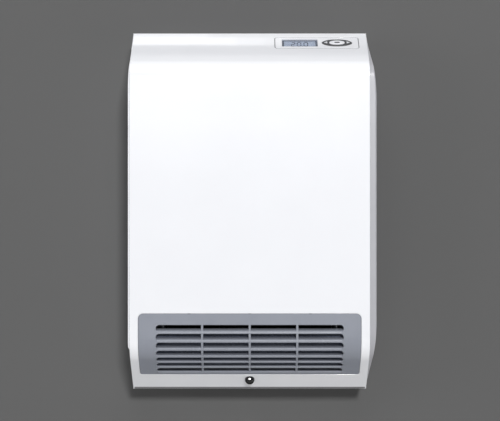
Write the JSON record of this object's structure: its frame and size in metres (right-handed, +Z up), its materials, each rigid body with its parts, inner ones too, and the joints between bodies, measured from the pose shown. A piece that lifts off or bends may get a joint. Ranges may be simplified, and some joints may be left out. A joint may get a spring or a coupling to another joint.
{
  "type": "bathroom wall fan heater",
  "caption": "White wall-mounted fan heater with slanted top and bottom, a display panel, a grey outlet grille and a side filter.",
  "frame": {"origin": "centre of the four wall screws, on the wall plane, which is also the middle of the casing's height and of the cover's width", "axes": "+X to the right seen from the front, +Y into the wall, +Z up"},
  "size_m": [0.3175, 0.127, 0.4666],
  "materials": {
    "cover_white": "glossy white",
    "housing_white": "fine matt white",
    "cheek_grey": "satin light grey",
    "cassette_grey": "fine matt light grey",
    "mesh_dark": "fine woven filter mesh",
    "grille_grey": "fine matt blue grey",
    "dome_black": "polished black",
    "ring_grey": "satin dark grey",
    "lcd_glass": "clear",
    "lcd_grey": "blue grey display",
    "zinc_steel": "zinc plated sheet",
    "bright_steel": "ground steel",
    "spring_steel": "blued spring steel",
    "core_steel": "stacked lacquered laminations",
    "copper_winding": "enamelled copper wire",
    "bronze": "sintered bronze",
    "black_plastic": "fine matt black",
    "fan_grey": "satin dark grey",
    "rubber_black": "soft matt rubber",
    "heater_wire": "oxidised resistance wire",
    "mica": "layered mica board",
    "board_green": "solder-masked circuit board",
    "aluminium": "extruded",
    "part_cream": "moulded insulator",
    "capacitor_yellow": "dipped film capacitor",
    "fuse_white": "glazed",
    "wire_blue_grey": "wire insulation"
  },
  "bodies": {
    "casing": {"front_cover": "cover_white", "rear_housing": "housing_white", "wall_bracket": "zinc_steel", "bracket_clip": "spring_steel", "left_cheek": "cover_white", "intake_frame": "cheek_grey", "outlet_grille": "grille_grey", "grille_clips": "spring_steel", "panel_insert": "cover_white", "lcd_window": "lcd_glass", "lcd_panel": "lcd_grey", "control_board": "board_green", "tact_switches": "black_plastic", "scroll": "black_plastic", "tongue": "black_plastic", "blower_side_left": "zinc_steel", "blower_side_right": "zinc_steel", "bearing_bushes": "bronze", "bush_grommets": "rubber_black", "motor_core": "core_steel", "motor_coil": "copper_winding", "motor_bracket": "zinc_steel", "motor_screws": "bright_steel", "heater_frame": "mica", "heating_coils": "heater_wire", "mica_strips": "mica", "thermal_cutout": "black_plastic", "thermal_fuse": "fuse_white", "power_board": "board_green", "relays": "black_plastic", "capacitor": "capacitor_yellow", "heat_sink": "aluminium", "terminal_block": "part_cream", "cable_gland": "rubber_black", "cord_clamp": "part_cream", "room_sensor": "part_cream", "housing_screws": "bright_steel", "wiring": "wire_blue_grey"},
    "fan_rotor": {"impeller": "fan_grey", "shaft": "bright_steel", "shaft_collars": "spring_steel", "motor_rotor": "bright_steel"},
    "rocker": {"rocker_ring": "ring_grey"},
    "button": {"confirm_button": "cover_white"},
    "filter": {"filter_cassette": "cassette_grey", "filter_mesh": "mesh_dark"},
    "lock": {"lock_screw": "dome_black", "lock_cam": "bright_steel"}
  },
  "joints": [
    {"name": "impeller_spin", "type": "hinge", "parent": "casing", "child": "fan_rotor", "pos_m": [0, -0.0476, -0.09275], "axis": [1, 0, 0], "continuous": true},
    {"name": "rocker_tilt", "type": "hinge", "parent": "casing", "child": "rocker", "pos_m": [0.1135, -0.08277, 0.21772], "axis": [0, 0.7796, 0.6263], "range_deg": [-2.5, 2.5], "stiffness_Nm_per_rad": 0.3},
    {"name": "button_press", "type": "slide", "parent": "casing", "child": "button", "axis": [0, 0.6263, -0.7796], "range_m": [0, 0.0008], "stiffness_N_per_m": 1200},
    {"name": "filter_slide", "type": "slide", "parent": "casing", "child": "filter", "axis": [1, 0, 0], "range_m": [0, 0.04]},
    {"name": "lock_turn", "type": "hinge", "parent": "casing", "child": "lock", "pos_m": [0, -0.0827, -0.21833], "axis": [0, -0.6663, -0.7457], "range_deg": [0, 90]}
  ]
}
